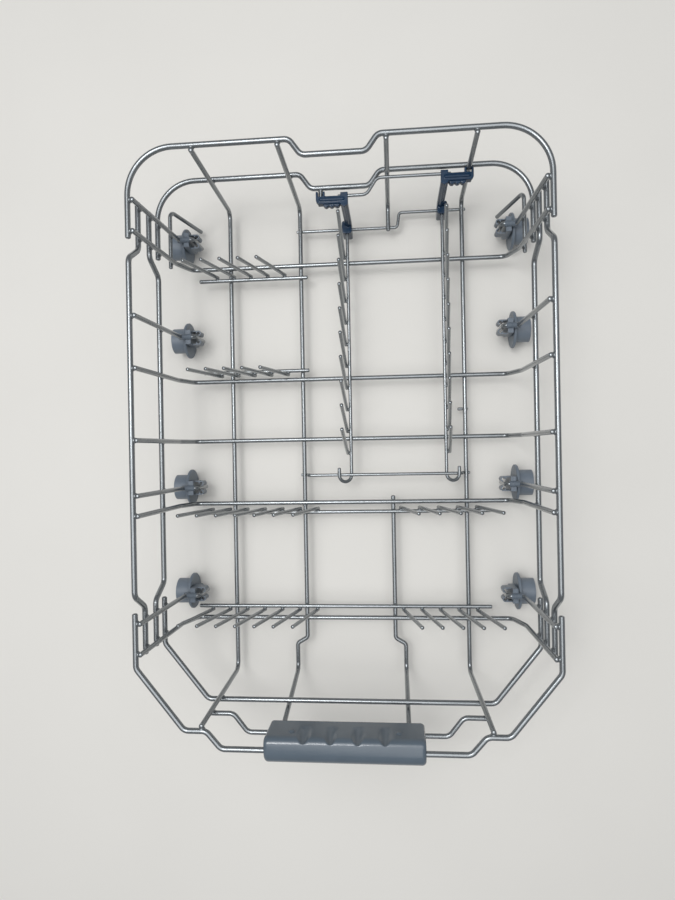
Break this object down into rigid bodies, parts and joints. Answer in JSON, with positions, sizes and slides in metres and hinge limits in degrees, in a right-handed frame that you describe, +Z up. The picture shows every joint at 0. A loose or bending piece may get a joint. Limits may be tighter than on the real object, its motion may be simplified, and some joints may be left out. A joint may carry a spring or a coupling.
{
  "type": "dishwasher basket",
  "caption": "Lower basket of a slimline dishwasher: bent coated wire on flanged rollers, with fold-down tine rows, spring clips and a moulded front grip.",
  "frame": {"origin": "middle of the basket's plan box, on the plane the rollers stand on", "axes": "+X right as seen from the front, +Y to the rear, away from the grip, +Z up"},
  "size_m": [0.37, 0.531, 0.153],
  "materials": {
    "coated_wire": "satin grey nylon coat",
    "roller_plastic": "satin blue-grey",
    "carrier_plastic": "satin blue-grey",
    "clip_plastic": "satin dark blue",
    "grip_plastic": "satin slate grey"
  },
  "bodies": {
    "basket": {"clip_left": "clip_plastic", "clip_right": "clip_plastic", "clip_stub": "coated_wire", "clip_wire": "coated_wire", "cross_wire_1": "coated_wire", "cross_wire_2": "coated_wire", "cross_wire_3": "coated_wire", "cross_wire_4": "coated_wire", "cross_wire_5": "coated_wire", "front_pivot_wire": "coated_wire", "grip": "grip_plastic", "grip_wire": "coated_wire", "guard_wire_left": "coated_wire", "guard_wire_right": "coated_wire", "long_wire_1": "coated_wire", "long_wire_2": "coated_wire", "long_wire_3_front": "coated_wire", "long_wire_3_rear": "coated_wire", "long_wire_4": "coated_wire", "rear_pivot_wire": "coated_wire", "rim_front": "coated_wire", "rim_left": "coated_wire", "rim_rear": "coated_wire", "rim_right": "coated_wire", "ring_front": "coated_wire", "ring_left": "coated_wire", "ring_rear": "coated_wire", "ring_right": "coated_wire", "roller_carrier_left_1": "carrier_plastic", "roller_carrier_left_2": "carrier_plastic", "roller_carrier_left_3": "carrier_plastic", "roller_carrier_left_4": "carrier_plastic", "roller_carrier_right_1": "carrier_plastic", "roller_carrier_right_2": "carrier_plastic", "roller_carrier_right_3": "carrier_plastic", "roller_carrier_right_4": "carrier_plastic", "roller_wire_left_1": "coated_wire", "roller_wire_left_2": "coated_wire", "roller_wire_left_3": "coated_wire", "roller_wire_left_4": "coated_wire", "roller_wire_right_1": "coated_wire", "roller_wire_right_2": "coated_wire", "roller_wire_right_3": "coated_wire", "roller_wire_right_4": "coated_wire", "spare_stub": "coated_wire", "tine_row_a": "coated_wire", "tine_row_b": "coated_wire", "tine_row_c": "coated_wire", "tine_row_d": "coated_wire"},
    "fold_row_left": {"fold_row_left": "coated_wire"},
    "fold_row_right": {"fold_row_right": "coated_wire"},
    "roller_left_1": {"roller_left_1": "roller_plastic"},
    "roller_left_2": {"roller_left_2": "roller_plastic"},
    "roller_left_3": {"roller_left_3": "roller_plastic"},
    "roller_left_4": {"roller_left_4": "roller_plastic"},
    "roller_right_1": {"roller_right_1": "roller_plastic"},
    "roller_right_2": {"roller_right_2": "roller_plastic"},
    "roller_right_3": {"roller_right_3": "roller_plastic"},
    "roller_right_4": {"roller_right_4": "roller_plastic"}
  },
  "joints": [
    {"name": "roller_left_1_spin", "type": "hinge", "parent": "basket", "child": "roller_left_1", "pos_m": [-0.176, 0.219, 0.0185], "axis": [1, 0, 0], "continuous": true},
    {"name": "roller_left_2_spin", "type": "hinge", "parent": "basket", "child": "roller_left_2", "pos_m": [-0.176, 0.119, 0.0185], "axis": [1, 0, 0], "continuous": true},
    {"name": "roller_left_3_spin", "type": "hinge", "parent": "basket", "child": "roller_left_3", "pos_m": [-0.176, -0.037, 0.0185], "axis": [1, 0, 0], "continuous": true},
    {"name": "roller_left_4_spin", "type": "hinge", "parent": "basket", "child": "roller_left_4", "pos_m": [-0.176, -0.1475, 0.0185], "axis": [1, 0, 0], "continuous": true},
    {"name": "roller_right_1_spin", "type": "hinge", "parent": "basket", "child": "roller_right_1", "pos_m": [0.176, 0.219, 0.0185], "axis": [1, 0, 0], "continuous": true},
    {"name": "roller_right_2_spin", "type": "hinge", "parent": "basket", "child": "roller_right_2", "pos_m": [0.176, 0.119, 0.0185], "axis": [1, 0, 0], "continuous": true},
    {"name": "roller_right_3_spin", "type": "hinge", "parent": "basket", "child": "roller_right_3", "pos_m": [0.176, -0.037, 0.0185], "axis": [1, 0, 0], "continuous": true},
    {"name": "roller_right_4_spin", "type": "hinge", "parent": "basket", "child": "roller_right_4", "pos_m": [0.176, -0.1475, 0.0185], "axis": [1, 0, 0], "continuous": true},
    {"name": "fold_left", "type": "hinge", "parent": "basket", "child": "fold_row_left", "pos_m": [0.0025, 0.1, 0.0298], "axis": [0, 1, 0], "range_deg": [0, 85]},
    {"name": "fold_right", "type": "hinge", "parent": "basket", "child": "fold_row_right", "pos_m": [0.099, 0.1, 0.0298], "axis": [0, -1, 0], "range_deg": [0, 75]}
  ]
}
